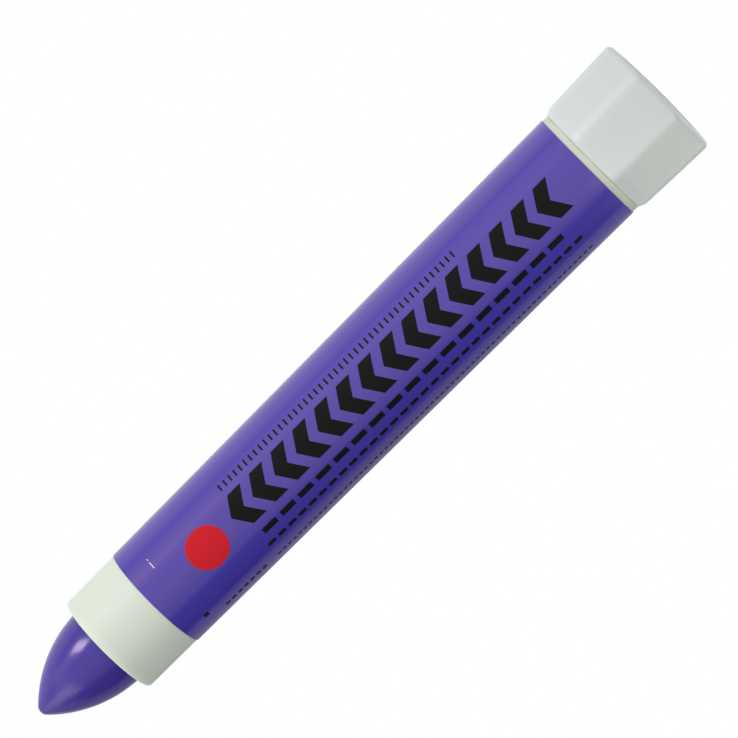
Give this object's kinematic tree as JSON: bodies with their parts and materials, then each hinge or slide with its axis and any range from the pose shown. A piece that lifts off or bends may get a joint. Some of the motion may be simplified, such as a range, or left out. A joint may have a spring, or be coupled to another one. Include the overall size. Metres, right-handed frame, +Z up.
{
  "type": "solid paint marker",
  "caption": "Twist-up solid paint marker: a tapered labelled barrel with a bare front collar, a faceted rear knob, and a screw that winds an ogive-tipped paint stick in and out.",
  "frame": {"origin": "on the surface that the marker lies on, under the middle of its bounding box", "axes": "+X along the marker towards its knob, so the writing tip points to -X, and +Z up; the marker's own axis rises 0.81 degrees towards the knob, because it lies on the knob's end edge and the label's front edge"},
  "size_m": [0.1238, 0.0198, 0.0197],
  "materials": {
    "barrel_plastic": "satin moulded, slightly green cream white",
    "label_film": "glossy printed film, purple",
    "knob_plastic": "satin moulded, cool white",
    "screw_plastic": "satin moulded, natural white",
    "cup_plastic": "satin moulded, pale grey",
    "solid_paint": "waxy solid paint, purple"
  },
  "bodies": {
    "barrel": {"barrel_tube": "barrel_plastic", "label_film": "label_film"},
    "knob": {"twist_knob": "knob_plastic", "drive_screw": "screw_plastic"},
    "feed": {"feed_cup": "cup_plastic", "paint_stick": "solid_paint"}
  },
  "joints": [
    {"name": "knob_twist", "type": "hinge", "parent": "barrel", "child": "knob", "pos_m": [0.06174, 0, 0.00987], "axis": [-0.9999, 0, -0.0141], "range_deg": [-1323, 4977]},
    {"name": "stick_feed", "type": "slide", "parent": "barrel", "child": "feed", "axis": [-0.9999, 0, -0.0141], "range_m": [-0.0148, 0.0554]}
  ],
  "couplings": [
    {"joint": "stick_feed", "follows": "knob_twist", "m_per_rad": 0.00063662}
  ]
}
